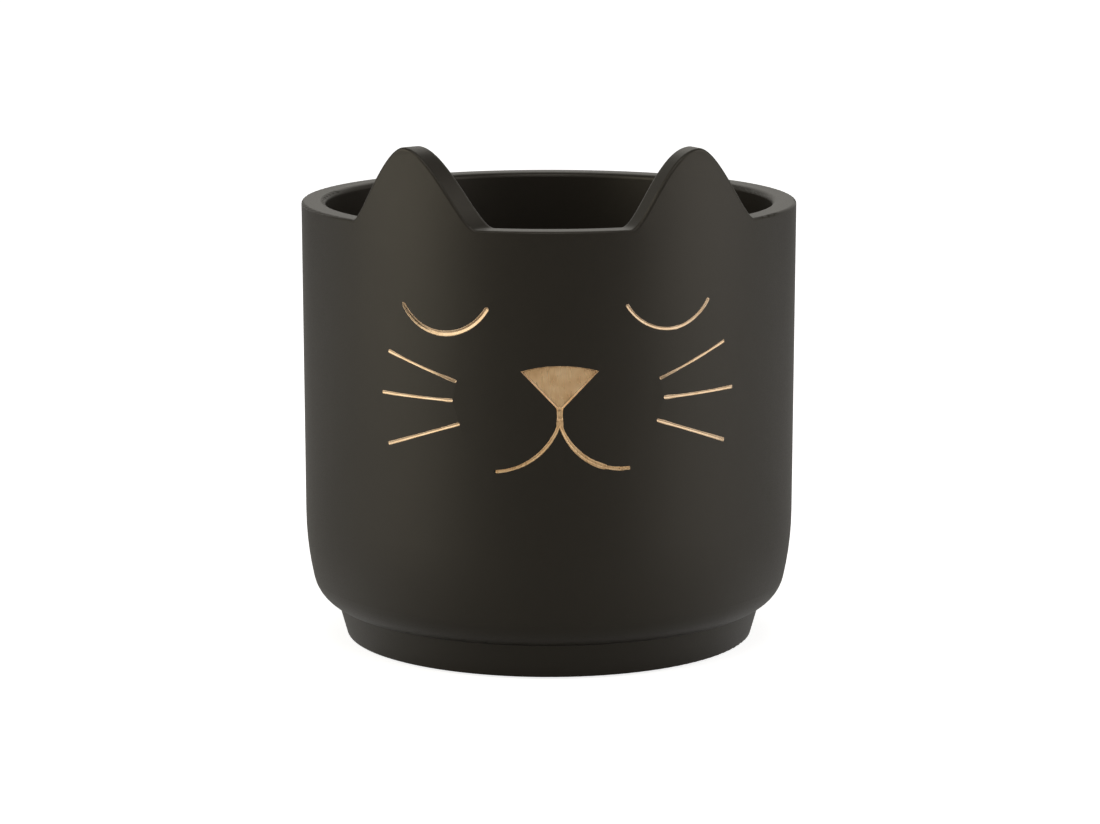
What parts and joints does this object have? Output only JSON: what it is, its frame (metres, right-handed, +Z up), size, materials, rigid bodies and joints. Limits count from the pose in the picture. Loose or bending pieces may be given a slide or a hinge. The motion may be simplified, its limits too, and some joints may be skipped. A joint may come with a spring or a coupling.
{
  "type": "plant pot",
  "caption": "Round plant pot with two cat ears on its rim and a sleeping cat's face in gold-lined grooves, on a stepped foot, with a drain plug that lifts out.",
  "frame": {"origin": "centre of the part's box at the level it stands on", "axes": "+Z up along the pot's axis, the face looks along -Y, +X to the right of someone who looks at the face"},
  "size_m": [0.14, 0.14, 0.1464],
  "materials": {
    "matte_ceramic": "matte",
    "gold": "satin",
    "plug_rubber": "matte",
    "pad_rubber": "matte"
  },
  "bodies": {
    "pot": {"pot_body": "matte_ceramic", "left_eyelid_inlay": "gold", "right_eyelid_inlay": "gold", "left_upper_whisker_inlay": "gold", "left_middle_whisker_inlay": "gold", "left_lower_whisker_inlay": "gold", "right_upper_whisker_inlay": "gold", "right_middle_whisker_inlay": "gold", "right_lower_whisker_inlay": "gold", "nose_inlay": "gold", "mouth_inlay": "gold", "front_pad": "pad_rubber", "rear_left_pad": "pad_rubber", "rear_right_pad": "pad_rubber"},
    "plug": {"drain_plug": "plug_rubber"}
  },
  "joints": [
    {"name": "plug_lift", "type": "slide", "parent": "pot", "child": "plug", "axis": [0, 0, 1], "range_m": [0, 0.15]}
  ]
}
